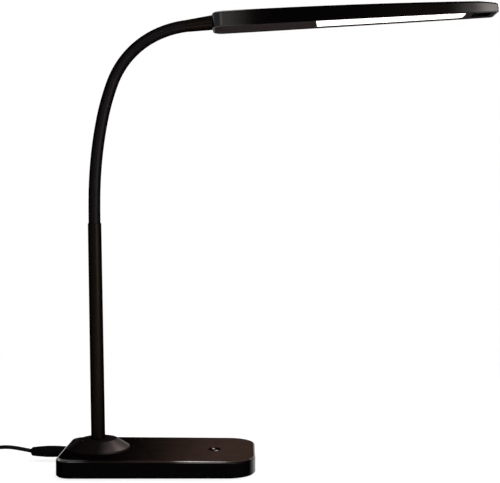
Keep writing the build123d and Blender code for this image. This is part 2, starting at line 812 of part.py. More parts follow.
for name, points in (("power_cord", cord_route), ("power_cord_tail", tail_route)):
    radii = corner_radii(points)
    with BuildPart() as cord:
        with BuildLine() as route:
            FilletPolyline(*points, radius=radii)
        with BuildSketch(Plane(origin=route.line @ 0, z_dir=route.line % 0)):
            Circle(cord_radius)
        sweep()
    cord.part.label = name
    export_step(cord.part, f"parts/{name}.step")
    run_length = route.wire().length
    section_volume = pi * cord_radius**2 * run_length
    print(name, "bend radii", [round(r, 1) for r in radii], "length", round(run_length, 1))
    print(name, "volume", round(cord.part.volume, 1), "section times length", round(section_volume, 1))

coil_y = plug_y - coil_radius - (coil_wide - 1) / 2 * cord_diameter
with BuildPart() as power_cord_coil:
    with BuildSketch(Plane.XZ.offset(-coil_y)) as band:
        with Locations((coil_x + coil_radius, coil_high * cord_radius)):
            Rectangle(coil_wide * cord_diameter, coil_high * cord_diameter)
        chamfer(band.vertices(), length=cord_radius / 2)
    revolve(axis=Axis((coil_x, coil_y, 0), (0, 0, 1)))
power_cord_coil.part.label = "power_cord_coil"
export_step(power_cord_coil.part, "parts/power_cord_coil.step")
print("coiled length", round(coil_turns * 2 * pi * coil_radius, 1))

# ---------------------------------------------------------------- plug-in adapter
adapter_start = tail_end - gland_length
adapter_x = adapter_start - adapter_length / 2
gland_z = tail_route[-1][2]

with BuildPart() as adapter_gland:
    with Locations(Location((tail_end, plug_y, gland_z), (0, -90, 0))):
        Cone(2.6, 4.2, gland_length, align=(Align.CENTER, Align.CENTER, Align.MIN))
adapter_gland.part.label = "adapter_gland"
export_step(adapter_gland.part, "parts/adapter_gland.step")

with BuildPart() as adapter_body:
    with Locations((adapter_x, plug_y, 0)):
        Box(adapter_length, adapter_width, adapter_height, align=(Align.CENTER, Align.CENTER, Align.MIN))
    fillet(adapter_body.edges().filter_by(Axis.Z), radius=4)
    chamfer(adapter_body.faces().filter_by(Axis.Z).edges(), length=0.8)
adapter_body.part.label = "adapter_body"
export_step(adapter_body.part, "parts/adapter_body.step")

with BuildPart() as adapter_prongs:
    with BuildSketch(Plane.XY.offset(adapter_height)):
        with Locations((adapter_x, plug_y)):
            with GridLocations(0, prong_pitch, 1, 2):
                Rectangle(6.3, 1.5)
    extrude(amount=prong_length)
    fillet(adapter_prongs.edges().filter_by(Axis.Y).group_by(Axis.Z)[-1], radius=1.6)
    with Locations(Location((adapter_x, plug_y, adapter_height + 0.75 * prong_length), (90, 0, 0))):
        Cylinder(1.6, 20, mode=Mode.SUBTRACT)
adapter_prongs.part.label = "adapter_prongs"
export_step(adapter_prongs.part, "parts/adapter_prongs.step")
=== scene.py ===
"""Finishes, soft pieces and stage of a gooseneck desk lamp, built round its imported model."""

import json
import math

import bmesh
import bpy
from bpy.props import FloatProperty, FloatVectorProperty, IntProperty, PointerProperty
from bpy.types import Operator, Panel, PropertyGroup
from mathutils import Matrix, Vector

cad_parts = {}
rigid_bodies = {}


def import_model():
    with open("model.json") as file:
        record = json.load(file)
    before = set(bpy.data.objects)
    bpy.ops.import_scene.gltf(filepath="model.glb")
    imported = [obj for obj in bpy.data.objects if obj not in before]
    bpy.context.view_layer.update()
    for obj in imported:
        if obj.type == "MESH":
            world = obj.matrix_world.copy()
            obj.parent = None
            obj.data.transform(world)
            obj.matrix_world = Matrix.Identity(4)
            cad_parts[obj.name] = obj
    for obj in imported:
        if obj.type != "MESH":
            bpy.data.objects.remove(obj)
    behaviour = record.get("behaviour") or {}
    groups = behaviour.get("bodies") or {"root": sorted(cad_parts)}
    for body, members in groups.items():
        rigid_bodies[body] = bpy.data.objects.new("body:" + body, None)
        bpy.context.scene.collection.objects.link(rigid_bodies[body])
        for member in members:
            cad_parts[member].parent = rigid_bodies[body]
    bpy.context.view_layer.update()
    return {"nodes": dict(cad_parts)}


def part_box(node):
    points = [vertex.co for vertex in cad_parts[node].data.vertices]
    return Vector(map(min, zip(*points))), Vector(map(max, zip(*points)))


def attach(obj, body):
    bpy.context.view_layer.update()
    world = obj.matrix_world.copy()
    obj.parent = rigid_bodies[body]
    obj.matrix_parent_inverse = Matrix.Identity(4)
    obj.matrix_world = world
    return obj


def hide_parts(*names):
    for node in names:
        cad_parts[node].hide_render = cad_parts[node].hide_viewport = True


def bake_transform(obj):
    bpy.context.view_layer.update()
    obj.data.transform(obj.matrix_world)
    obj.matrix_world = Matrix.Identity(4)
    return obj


bl_info = {
    "name": "Gooseneck desk lamp",
    "version": (1, 0, 0),
    "blender": (4, 5, 0),
    "location": "View3D > Sidebar > Lamp",
    "description": "Builds the finishes, soft pieces and stage of a gooseneck desk lamp",
    "category": "Object",
}

for leftover in list(bpy.data.objects):
    bpy.data.objects.remove(leftover)
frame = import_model()
nodes = frame["nodes"]

# The neck's line starts at the top of the sleeve, and each knuckle is an arc, given as
# (length, turn in degrees).
NECK_FOOT = Vector((-0.059725, 0.0, 0.224))
NECK_HEADING = math.radians(90.92)
KNUCKLES = (
    (0.022, 1.3),
    (0.038, 5.3),
    (0.037, 5.8),
    (0.033, 8.6),
    (0.030, 21.4),
    (0.029, 21.2),
    (0.031, 19.8),
)

# The cord's route from the plug to the coil, and from the coil to the adapter, with the
# coil's place along the same line.
CORD_OUT = (
    (-0.1235, 0.024, 0.0089),
    (-0.133, 0.024, 0.0109),
    (-0.147, 0.024, 0.0130),
    (-0.161, 0.024, 0.0112),
    (-0.171, 0.024, 0.0050),
    (-0.180, 0.024, 0.00185),
    (-0.189, 0.024, 0.00185),
)
CORD_TAIL = ((-0.205, 0.024, 0.01305), (-0.221, 0.024, 0.0114))
COIL_X = -0.190

# Turned profiles, as (distance from the start, radius).
PLUG_PROFILE = (
    (0.0000, 0.0040),
    (0.0004, 0.0046),
    (0.0030, 0.0048),
    (0.0080, 0.0051),
    (0.0140, 0.0053),
    (0.0200, 0.00525),
    (0.0260, 0.0049),
    (0.0310, 0.0044),
    (0.0338, 0.0041),
    (0.0344, 0.0038),
    (0.0352, 0.0030),
    (0.0355, 0.0021),
)
GLAND_PROFILE = (
    (0.0000, 0.0021),
    (0.0003, 0.0026),
    (0.0017, 0.0029),
    (0.0018, 0.0024),
    (0.0026, 0.0025),
    (0.0027, 0.0031),
    (0.0042, 0.0034),
    (0.0043, 0.0028),
    (0.0051, 0.0030),
    (0.0052, 0.0036),
    (0.0067, 0.0039),
    (0.0068, 0.0033),
    (0.0075, 0.0034),
    (0.0076, 0.0042),
    (0.0080, 0.0042),
)
# The tie's free end, as (distance outwards, height) up the outside of the coil.
FLAP = ((0.0010, 0.0030), (0.0010, 0.0060), (0.0011, 0.0090), (0.0014, 0.0112), (0.0021, 0.0126))
# The tie's middle line: its gaps inside and outside the coil, its heights and its corners.
TIE_GAP_INSIDE, TIE_GAP_OUTSIDE = 0.0012, 0.0006
TIE_BOTTOM, TIE_TOP, TIE_CORNER = 0.0004, 0.0154, 0.0022
# The tie's section, as shares of its half width and half thickness.
STRAP_SECTION = (
    (-1, -0.4),
    (-0.94, -1),
    (0.94, -1),
    (1, -0.4),
    (1, 0.4),
    (0.94, 1),
    (-0.94, 1),
    (-1, 0.4),
)
# The foot pad's edge, as (inset, share of its thickness), and its two corner radii.
PAD_EDGE = ((0.0008, 0.0), (0.0002, 0.12), (0.0, 0.45), (0.0001, 0.8), (0.0005, 1.0))
PAD_CORNER_STEM, PAD_CORNER_TOUCH = 0.008, 0.019

# The coil's turns as (turn, ring, layer): rings count inwards and layers upwards.
COIL_PATH = (
    (0.00, 0, 0),
    (0.75, 0, 0),
    (1.00, 1, 0),
    (1.75, 1, 0),
    (2.00, 2, 0),
    (2.50, 2, 0),
    (2.75, 2, 1),
    (3.25, 2, 1),
    (3.50, 1, 1),
    (4.25, 1, 1),
    (4.50, 0, 1),
    (5.00, 0, 1),
    (5.25, 0, 2),
    (5.75, 0, 2),
    (6.00, 1, 2),
    (6.75, 1, 2),
    (7.00, 2, 2),
    (7.50, 2, 2),
    (7.75, 2, 3),
    (8.25, 2, 3),
    (8.50, 1, 3),
    (9.25, 1, 3),
    (9.50, 0, 3),
    (10.0, 0, 3),
)

# The touch dish's place along the foot, as in the CAD model.
DISH_X = 0.0505

# Lamps as (name, place, point aimed at, width, height, watts).
LAMPS = (
    ("front_right_box", (0.9, -0.95, 0.45), (0.0, 0.0, 0.22), 1.05, 0.9, 24.0),
    ("front_left_box", (-0.2, -0.95, 0.55), (-0.04, 0.0, 0.35), 0.45, 0.5, 2.4),
    ("back_right_box", (0.48, 0.36, 0.62), (-0.04, 0.0, 0.02), 0.5, 0.4, 6.8),
    ("overhead_strip", (-0.01, 0.05, 0.75), (0.04, -0.05, 0.016), 0.14, 0.3, 3.4),
    ("back_left_strip", (-0.68, 0.30, 0.42), (-0.08, -0.045, 0.015), 0.06, 0.22, 1.0),
    ("floor_fill", (0.0, -0.42, 0.02), (0.0, -0.42, 1.0), 0.35, 0.2, 1.8),
)


# ---------------------------------------------------------------- shader helpers
class Wire:
    """A shader socket that takes part in sums written as Python expressions."""

    def __init__(self, finish, socket):
        self.finish = finish
        self.socket = socket

    def maths(self, operation, *values):
        """The result of one Math node."""
        return self.finish.add("Math", {"operation": operation}, dict(enumerate(values)))

    def __add__(self, other):
        return self.maths("ADD", self, other)

    def __sub__(self, other):
        return self.maths("SUBTRACT", self, other)

    def __rsub__(self, other):
        return self.maths("SUBTRACT", other, self)

    def __mul__(self, other):
        return self.maths("MULTIPLY", self, other)

    __radd__ = __add__
    __rmul__ = __mul__

    def least(self, other):
        return self.maths("MINIMUM", self, other)

    def most(self, other):
        return self.maths("MAXIMUM", self, other)

    def ramp(self, low, high):
        """Smooth mask that is 0 below low and 1 above high."""
        settings = {"interpolation_type": "SMOOTHSTEP"}
        return self.finish.add("MapRange", settings, {0: self, 1: low, 2: high})


class Finish:
    """A material, or a world, under construction, with one method that adds any node."""

    def __init__(self, name, store=bpy.data.materials):
        self.owner = store.new(name)
        self.owner.use_nodes = True
        self.tree = self.owner.node_tree
        self.tree.nodes.clear()

    def add(self, kind, settings=None, sockets=None, output=0):
        """Adds one node, links or sets its sockets, and returns one of its outputs."""
        node = self.tree.nodes.new("ShaderNode" + kind)
        for name, value in (settings or {}).items():
            setattr(node, name, value)
        for name, value in (sockets or {}).items():
            if isinstance(value, Wire):
                self.tree.links.new(value.socket, node.inputs[name])
            else:
                node.inputs[name].default_value = value
        return Wire(self, node.outputs[output])

    def place(self):
        """The point on the lamp, in metres, in its own fixed frame."""
        return self.add("TexCoord", output="Object")

    def axes(self, place):
        """The three coordinates of a place."""
        split = self.add("SeparateXYZ", sockets={0: place}).socket.node
        return [Wire(self, socket) for socket in split.outputs]

    def stretched(self, place, scale):
        """A place with its three coordinates scaled."""
        return self.add("VectorMath", {"operation": "MULTIPLY"}, {0: place, 1: scale})

    def noise(self, place, size, detail=2.0, rough=0.5):
        """Noise between 0 and 1 whose blotches are about as wide as size, in metres."""
        sockets = {"Vector": place, "Scale": 1 / size, "Detail": detail, "Roughness": rough}
        return self.add("TexNoise", {"noise_dimensions": "3D"}, sockets)

    def cells(self, place, size, feature="F1"):
        """Distance to the nearest grain's centre or edge, for grains about as wide as size."""
        settings = {"feature": feature}
        return self.add("TexVoronoi", settings, {"Vector": place, "Scale": 1 / size})

    def grained(self, place, grains=0.00035, pits=0.00055):
        """Height of spark-eroded plastic: fine grains among wider pits."""
        return self.noise(place, grains, 2.0, 0.6) + self.cells(place, pits) * 0.7

    def mix(self, factor, one, two):
        """Colour one where factor is 0 and colour two where it is 1."""
        sockets = {0: factor, 6: one, 7: two}
        return self.add("Mix", {"data_type": "RGBA"}, sockets, 2)

    def shades(self, mask, colour, low=0.8, high=1.25):
        """One colour, low times as light where the mask is 0 and high times where it is 1."""
        return self.mix(mask, shade(colour, low), shade(colour, high))

    def reach(self, place, x, y):
        """Distance from the upright line through a point of the plan."""
        plan = self.stretched(place, (1.0, 1.0, 0.0))
        return self.add("VectorMath", {"operation": "DISTANCE"}, {0: plan, 1: (x, y, 0.0)}, 1)

    def bump(self, height, depth, below=None):
        """Normal of a relief whose height of 1 stands depth metres proud."""
        sockets = {"Height": height, "Distance": depth, "Strength": 1.0}
        if below is not None:
            sockets["Normal"] = below
        return self.add("Bump", {}, sockets)

    def tilt(self):
        """How far the surface faces upwards: 1 on a level top, 0 on an upright side."""
        split = self.add("SeparateXYZ", sockets={0: self.add("NewGeometry", output=1)}).socket.node
        return Wire(self, split.outputs["Z"])

    def seen(self):
        """1 where a ray looks at the surface, directly or in a reflection or through glass."""
        rays = self.add("LightPath").socket.node.outputs
        straight, glossy = Wire(self, rays["Is Camera Ray"]), Wire(self, rays["Is Glossy Ray"])
        return (straight + glossy + Wire(self, rays["Is Transmission Ray"])).least(1.0)

    def output(self, shader, kind="Material"):
        """Closes the material or world with its last shader."""
        node = self.tree.nodes.new("ShaderNodeOutput" + kind)
        self.tree.links.new(shader.socket, node.inputs["Surface"])
        return self.owner

    def surface(self, **sockets):
        """Closes the material with a Principled surface: names in snake case are its sockets."""
        named = {
            name.replace("_", " ").title().replace("Ior", "IOR"): value
            for name, value in sockets.items()
        }
        return self.output(self.add("BsdfPrincipled", {}, named))

    def lustre(self, share, **sockets):
        """Closes a black finish whose lustre stays dark at glancing angles."""
        black = (0.0, 0.0, 0.0, 1.0)
        return self.surface(metallic=share, specular_ior_level=0.0, specular_tint=black, **sockets)


def shade(colour, factor):
    """A colour made darker or lighter, with an alpha of 1."""
    return tuple(channel * factor for channel in colour[:3]) + (1.0,)


# ---------------------------------------------------------------- finishes
# Depth of a moulding tool's spark-eroded grain.
GRAIN_DEPTH = 0.000005


def moulded_finish(name, colour, roughness, lustre_share=0.8, grain=0.00035):
    """Moulded plastic: fine spark-eroded grain, slow mottling, handling marks and a little dust."""
    finish = Finish(name)
    place = finish.place()
    mottle = finish.noise(place, 0.018, 4.0)
    handled = finish.noise(place, 0.05, 3.0, 0.6).ramp(0.52, 0.7)
    dusty = finish.noise(place, 0.03).ramp(0.5, 0.7)
    dust = finish.noise(place, 0.0009, 1.0).ramp(0.74, 0.8) * dusty
    tone = finish.shades(mottle, colour)
    return finish.lustre(
        lustre_share,
        base_color=finish.mix(dust * 0.25, tone, shade(colour, 3.0)),
        roughness=roughness - 0.04 + mottle * 0.06 - handled * 0.04,
        normal=finish.bump(finish.grained(place, grain, grain * 1.6), GRAIN_DEPTH * 1.2),
    )


def foot_finish(name, colour, painted_sheen, roughness, lustre_share):
    """Foot cover: moulded plastic with a polished touch dish, painted sheen, painted shade and
    painted glints.
    """
    finish = Finish(name)
    place = finish.place()
    x, y, z = finish.axes(place)
    mottle = finish.noise(place, 0.018, 4.0)
    streaks = finish.noise(finish.stretched(place, (0.35, 1.0, 1.0)), 0.006, 5.0, 0.6)
    top = z.ramp(0.0146, 0.0158)
    # the polished spot is a little longer across the foot than along it
    reach = finish.reach(finish.stretched(place, (1.0, 0.8, 1.0)), DISH_X, -0.001)
    dish = 1 - reach.ramp(0.0054, 0.0062)
    # painted glints: two light specks in the base colour, with full coat, on the dish's far side
    # and at its near rim
    far_painted_glint = 1 - finish.reach(place, DISH_X - 0.001, 0.0036).ramp(0.0009, 0.0016)
    near_painted_glint = 1 - finish.reach(place, DISH_X + 0.0019, -0.0068).ramp(0.0013, 0.0020)
    painted_glints = far_painted_glint + near_painted_glint
    # painted sheen: the top's colour turns lighter and browner towards the touch dish and in a
    # patch at the stem end's rear corner, carried by handled
    painted_sheen_ramp = (x + (streaks - 0.5) * 0.03).ramp(-0.05, 0.065)
    corner = (y - 0.4 * x).ramp(0.055, 0.075) * 0.8
    handled = (painted_sheen_ramp.most(corner) * top * (1 - dish) * (0.85 + mottle * 0.3)).least(1.0)
    # the rounded edge is rubbed at the stem's end and in the middle, and the end face at the dish
    up = finish.tilt()
    edge = up.ramp(0.1, 0.4) * (1 - up.ramp(0.985, 0.998))
    stem_end = 1 - x.ramp(-0.078, -0.055)
    middle = x.ramp(0.012, 0.03) * (1 - x.ramp(0.055, 0.072))
    touch_end = x.ramp(0.082, 0.0872) * (1 - up.ramp(0.9, 0.99))
    beyond = reach.ramp(0.0064, 0.0072)
    rubbed = edge * stem_end.most(middle) * beyond + touch_end
    # painted shade: below the top's edge the sides are coloured 0.45 times as light as the top
    painted_shade_tone = finish.mix(top, shade(colour, 0.45), finish.shades(mottle, colour))
    clean = finish.mix(dish, finish.mix(handled, painted_shade_tone, shade(painted_sheen, 1.0)), shade(colour, 3.0))
    return finish.lustre(
        lustre_share - handled * (lustre_share - 0.08) + dish * (0.95 - lustre_share),
        base_color=finish.mix(painted_glints, clean, (0.36, 0.35, 0.34, 1.0)),
        roughness=roughness + mottle * 0.05 + handled * 0.1 - dish * (roughness - 0.06),
        coat_weight=(rubbed * (0.8 + streaks * 0.2) + painted_glints).least(1.0),
        coat_roughness=0.12,
        normal=finish.bump(finish.grained(place, 0.0004, 0.0006) * (1 - dish), GRAIN_DEPTH),
    )


def head_finish(name, colour, roughness, lustre_share):
    """Head shell: moulded plastic, polished by hands at its two ends, with painted shade in its
    middle.
    """
    finish = Finish(name)
    place = finish.place()
    along = finish.axes(place)[0]
    mottle = finish.noise(place, 0.018, 4.0)
    smears = finish.noise(finish.stretched(place, (0.4, 1.0, 1.0)), 0.01, 4.0, 0.6)
    shifted = along + (smears - 0.5) * 0.006
    neck_end = (1 - shifted.ramp(0.06, 0.09)) * 0.32
    tip_end = shifted.ramp(0.262, 0.290) * 0.12 + shifted.ramp(0.283, 0.303) * 0.5
    # painted shade: between the two ends the shell's colour is darkened to 0.3 times
    ends = (1 - shifted.ramp(0.065, 0.11)).most(shifted.ramp(0.255, 0.3))
    tone = finish.shades(mottle, colour)
    return finish.lustre(
        lustre_share,
        base_color=finish.mix(ends, shade(colour, 0.3), tone),
        roughness=roughness - 0.03 + mottle * 0.06,
        coat_weight=(neck_end + tip_end) * (0.85 + smears * 0.3),
        coat_roughness=0.22,
        normal=finish.bump(finish.grained(place), GRAIN_DEPTH),
    )


def bezel_finish(name, colour, roughness, lustre_share):
    """Underside cover: matt moulded plastic, with a gloss black panel let into its tip end as a
    painted dark reflection.
    """
    finish = Finish(name)
    place = finish.place()
    x, y = finish.axes(place)[:2]
    # painted reflection: a glossy rectangle near the tip end is coloured almost black
    painted_dark_panel = x.ramp(0.2868, 0.2878) * (1 - x.ramp(0.3034, 0.3044))
    painted_dark_panel = painted_dark_panel * y.ramp(-0.0082, -0.0074) * (1 - y.ramp(0.0074, 0.0082))
    mottle = finish.noise(place, 0.018, 4.0)
    tone = finish.shades(mottle, colour, 0.85, 1.15)
    return finish.lustre(
        lustre_share + painted_dark_panel * (0.5 - lustre_share),
        base_color=finish.mix(painted_dark_panel, tone, (0.0015, 0.0015, 0.0016, 1.0)),
        roughness=roughness + mottle * 0.05 - painted_dark_panel * (roughness - 0.12),
        normal=finish.bump(finish.grained(place) * (1 - painted_dark_panel), GRAIN_DEPTH),
    )


def ferrule_finish(name, colour, roughness, lustre_share):
    """Cover round the stem's foot: satin plastic with painted light towards the touch dish and
    painted shade away from it.
    """
    finish = Finish(name)
    place = finish.place()
    along = finish.axes(place)[0]
    level = finish.tilt().ramp(0.9, 0.97)
    mottle = finish.noise(place, 0.014, 4.0)
    # painted light and shade: worn takes the colour from 0.2 times away from the touch dish to 2.6
    # times towards it, and the lustre with it
    worn = (along + (mottle - 0.5) * 0.006).ramp(-0.055, -0.03)
    return finish.surface(
        base_color=finish.shades(worn * (1 - level), colour, 0.2, 2.6),
        metallic=lustre_share * (1 - level * 0.9) * worn.most(0.1),
        specular_ior_level=0.0,
        specular_tint=(0.45, 0.45, 0.45, 1),
        roughness=roughness - 0.02 + mottle * 0.05,
        normal=finish.bump(finish.grained(place), GRAIN_DEPTH),
    )


def painted_finish(name, colour, roughness, lustre_share=0.8):
    """Baked satin paint on drawn tube: a slight orange peel and specks."""
    finish = Finish(name)
    place = finish.place()
    peel = finish.noise(place, 0.0022, 1.0)
    fine = finish.noise(place, 0.00025, 2.0)
    slow = finish.noise(finish.stretched(place, (1.0, 1.0, 0.25)), 0.012, 3.0)
    return finish.lustre(
        lustre_share,
        base_color=finish.shades(slow, colour),
        roughness=roughness - 0.04 + slow * 0.08,
        normal=finish.bump(fine, 0.000003, finish.bump(peel, 0.00001)),
    )


def silicone_finish(name, colour, roughness, lustre_share=0.8):
    """Soft silicone: matt bloom, lint that it has picked up, and very fine drag lines."""
    finish = Finish(name)
    place = finish.place()
    bloom = finish.noise(place, 0.009, 5.0, 0.6)
    lint = finish.noise(finish.stretched(place, (1.0, 1.0, 0.5)), 0.0006, 1.0).ramp(0.73, 0.8)
    fine = finish.noise(place, 0.0002, 2.0)
    drag = finish.noise(finish.stretched(place, (1.0, 1.0, 0.12)), 0.0005, 1.0)
    tone = finish.shades(bloom, colour, 0.75, 1.35)
    return finish.lustre(
        lustre_share,
        base_color=finish.mix(lint * 0.3, tone, shade(colour, 3.0)),
        roughness=roughness - 0.05 + bloom * 0.1 + lint * 0.15,
        normal=finish.bump(fine + drag * 0.6, 0.000005),
    )


def jacket_finish(name, colour, roughness, lustre_share=0.8):
    """Extruded cable jacket: slow waviness along its length and fine matting."""
    finish = Finish(name)
    place = finish.place()
    wave = finish.noise(place, 0.004, 2.0)
    fine = finish.noise(place, 0.0003, 2.0)
    worn = finish.noise(place, 0.011, 4.0).ramp(0.45, 0.75)
    return finish.lustre(
        lustre_share,
        base_color=finish.shades(worn, colour, 0.8, 1.5),
        roughness=roughness - 0.05 + worn * 0.12,
        normal=finish.bump(fine, 0.000004, finish.bump(wave, 0.00002)),
    )


def metal_finish(name, colour, roughness, brushing=(1.0, 1.0, 1.0), tarnish=0.3):
    """Bare or plated metal: brushed streaks, slow tarnish and small scuffs."""
    finish = Finish(name)
    place = finish.place()
    streaks = finish.noise(finish.stretched(place, brushing), 0.0006, 3.0, 0.6)
    stain = finish.noise(place, 0.006, 4.0, 0.6).ramp(0.4, 0.75)
    scuff = finish.noise(place, 0.0015, 2.0).ramp(0.62, 0.72)
    tone = finish.shades(stain * tarnish, colour, 1.0, 0.45)
    return finish.surface(
        base_color=tone,
        metallic=1.0,
        roughness=roughness - 0.06 + streaks * 0.12 + stain * 0.1 + scuff * 0.08,
        normal=finish.bump(streaks, 0.000006),
    )


def board_finish(name, colour):
    """Circuit board: solder mask over copper tracks, with tinned pads showing through."""
    finish = Finish(name)
    place = finish.place()
    cell = finish.cells(place, 0.0024, "DISTANCE_TO_EDGE")
    tracks = 1 - cell.ramp(0.05, 0.09)
    pads = 1 - finish.cells(place, 0.0045).ramp(0.16, 0.19)
    fibre = finish.noise(place, 0.0004, 2.0)
    mask = finish.shades(tracks * 0.5, colour, 0.8, 1.8)
    return finish.surface(
        base_color=finish.mix(pads, mask, (0.62, 0.6, 0.55, 1.0)),
        metallic=pads * 0.9,
        roughness=0.38 + fibre * 0.1 - pads * 0.08,
        normal=finish.bump(tracks + pads, 0.00003),
    )


def opal_finish(name, colour, glow):
    """Opal window: even milky light that is warmer towards its long near edge and its tip end."""
    finish = Finish(name)
    place = finish.place()
    x, y = finish.axes(place)[:2]
    tip_end, near_edge = x.ramp(0.2, 0.285), 1 - y.ramp(-0.0135, -0.006)
    warm = (tip_end * 0.7 + near_edge * 0.6).least(1.0)
    frost = finish.noise(place, 0.0008, 2.0)
    cloud = finish.noise(place, 0.02, 2.0)
    warmer = (colour[0], colour[1] * 0.86, colour[2] * 0.8, 1.0)
    milky = finish.mix(warm, shade(colour, 1.0), warmer)
    return finish.surface(
        base_color=finish.mix(cloud * 0.3, milky, shade(colour, 0.94)),
        roughness=0.42 + frost * 0.12,
        emission_color=milky,
        emission_strength=glow,
        normal=finish.bump(frost, 0.000004),
    )


def foam_finish(name, colour):
    """Closed-cell foam sheet: skin with open pores."""
    finish = Finish(name)
    place = finish.place()
    pores = finish.cells(place, 0.0011)
    fine = finish.noise(place, 0.0004, 3.0)
    pits = 1 - pores.ramp(0.1, 0.45)
    return finish.surface(
        base_color=finish.shades(pits, colour, 1.3, 0.4),
        roughness=0.86 + fine * 0.1,
        specular_ior_level=0.3,
        normal=finish.bump(pores + fine * 0.4, 0.00012),
    )


def adapter_finish(name, colour, roughness, lustre_share=0.6):
    """Adapter case: coarsely grained plastic in two halves that meet at a fine groove."""
    finish = Finish(name)
    place = finish.place()
    height = finish.axes(place)[2]
    groove = height.ramp(0.0122, 0.01235) * (1 - height.ramp(0.01265, 0.0128))
    mottle = finish.noise(place, 0.012, 4.0)
    grains = finish.cells(place, 0.0008)
    fine = finish.noise(place, 0.0003, 2.0)
    tone = finish.shades(mottle, colour, 0.85, 1.3)
    return finish.lustre(
        lustre_share,
        base_color=finish.mix(groove, tone, shade(colour, 0.2)),
        roughness=roughness + mottle * 0.06 + groove * 0.3,
        normal=finish.bump(1 - groove, 0.0004, finish.bump(grains + fine * 0.4, 0.00002)),
    )


def strap_finish(name, colour):
    """Hook-and-loop strap: close rows of napped loops."""
    finish = Finish(name)
    place = finish.place()
    rows = finish.cells(finish.stretched(place, (1.0, 1.0, 0.6)), 0.0006)
    nap = finish.noise(place, 0.00035, 3.0)
    return finish.surface(
        base_color=finish.shades(nap, colour, 0.6, 1.5),
        roughness=0.8 + nap * 0.15,
        specular_ior_level=0.2,
        normal=finish.bump(rows + nap * 0.6, 0.00012),
    )


def phosphor_finish(name, colour):
    """Light-emitting chip: yellow phosphor in a pale frame."""
    finish = Finish(name)
    place = finish.place()
    grains = finish.noise(place, 0.0003, 3.0)
    return finish.surface(
        base_color=finish.shades(grains, colour, 0.8, 1.15),
        roughness=0.4 + grains * 0.2,
        normal=finish.bump(grains, 0.00001),
    )


# ---------------------------------------------------------------- shape helpers
def loft(name, rings, joined=False):
    """A mesh piece skinned over rings of points; joined closes the last ring onto the first."""
    form = bmesh.new()
    rows = [[form.verts.new(point) for point in ring] for ring in rings]
    pairs = list(zip(rows, rows[1:]))
    if joined:
        pairs.append((rows[-1], rows[0]))
    count = len(rows[0])
    for low, high in pairs:
        for index in range(count):
            after = (index + 1) % count
            form.faces.new((low[index], low[after], high[after], high[index]))
    if not joined:
        form.faces.new(rows[0])
        form.faces.new(rows[-1])
    bmesh.ops.recalc_face_normals(form, faces=form.faces)
    mesh = bpy.data.meshes.new(name)
    form.to_mesh(mesh)
    form.free()
    mesh.shade_smooth()
    piece = bpy.data.objects.new(name, mesh)
    bpy.context.scene.collection.objects.link(piece)
    return piece


def ring(centre, across, beside, count):
    """Points of an ellipse whose half axes are two vectors."""
    turns = [2 * math.pi * index / count for index in range(count)]
    return [centre + across * math.cos(a) + beside * math.sin(a) for a in turns]


def lathe(name, start, axis, profile, count=48):
    """A turned piece: profile is (distance along the axis, radius) from one end to the other."""
    axis = axis.normalized()
    across = axis.orthogonal().normalized()
    beside = axis.cross(across)
    rings = [ring(start + axis * d, across * r, beside * r, count) for d, r in profile]
    return loft(name, rings)


def rounded(low, high, corners, steps=10):
    """Points round a rectangle, whose corners from the lower left one on have their own radii."""
    places = ((low[0], low[1], 1, 1), (high[0], low[1], -1, 1))
    places += ((high[0], high[1], -1, -1), (low[0], high[1], 1, -1))
    points = []
    for index, ((x, y, right, up), radius) in enumerate(zip(places, corners)):
        for step in range(steps + 1):
            turn = math.pi * (1 + (index + step / steps) / 2)
            across, along = right + math.cos(turn), up + math.sin(turn)
            points.append((x + radius * across, y + radius * along))
    return points


def strap(name, path, across, width, thickness):
    """A flat strap with rounded selvedges: across is the unit vector of its width."""
    side = across * (width / 2)
    rings = []
    for before, point, after in zip([path[0], *path], path, [*path[1:], path[-1]]):
        out = (after - before).normalized().cross(across) * (thickness / 2)
        rings.append([point + side * u + out * v for u, v in STRAP_SECTION])
    return loft(name, rings)


def sharpen(piece, degrees):
    """Keeps edges sharper than an angle crisp."""
    piece.data.set_sharp_from_angle(angle=math.radians(degrees))


def dress(piece, material):
    """Gives a piece one material in place of any that it has."""
    piece.data.materials.clear()
    piece.data.materials.append(material)


def fit(piece, body, material, replaced):
    """Finishes a new piece, lets it ride on a body and hides the model's parts that it stands for.
    """
    dress(piece, material)
    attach(piece, body)
    if replaced:
        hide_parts(*replaced)


def neck_line(steps):
    """For each knuckle, the points and unit headings from its lower seam to its upper one."""
    point, heading, knuckles = NECK_FOOT.copy(), NECK_HEADING, []
    for length, turn in KNUCKLES:
        bend = math.radians(turn)
        stations = []
        for step in range(steps + 1):
            share = step / steps
            swept = max(bend * share, 1e-6)
            chord = length * share * math.sin(swept / 2) / (swept / 2)
            aim = heading - swept / 2
            here = point + Vector((math.cos(aim), 0, math.sin(aim))) * chord
            facing = heading - bend * share
            stations.append((here, Vector((math.cos(facing), 0, math.sin(facing)))))
        knuckles.append(stations)
        point, heading = stations[-1][0], heading - bend
    return knuckles


# ---------------------------------------------------------------- settings
class LampSizes(PropertyGroup):
    skin_diameter: FloatProperty(
        name="Skin diameter",
        description="Outside diameter of the silicone skin",
        default=0.0109,
        unit="LENGTH",
    )
    skin_wall: FloatProperty(
        name="Skin wall",
        description="Thickness of the silicone skin",
        default=0.0011,
        unit="LENGTH",
    )
    cord_diameter: FloatProperty(
        name="Cord diameter",
        description="Diameter of the round power cord",
        default=0.0037,
        unit="LENGTH",
    )
    cord_length: FloatProperty(
        name="Cord length",
        description="Length of the power cord from the plug to the adapter",
        default=1.5,
        unit="LENGTH",
    )
    coil_radius: FloatProperty(
        name="Coil radius",
        description="Radius of the middle turns of the put-away coil",
        default=0.0222,
        unit="LENGTH",
    )
    coil_steps: IntProperty(
        name="Points in a turn",
        description="Control points in each turn of the coil",
        default=16,
        min=12,
    )


def colour_setting(name, description, default):
    """A colour property with red, green and blue from 0 to 1."""
    return FloatVectorProperty(
        name=name, description=description, default=default, subtype="COLOR", size=3, min=0, max=1
    )


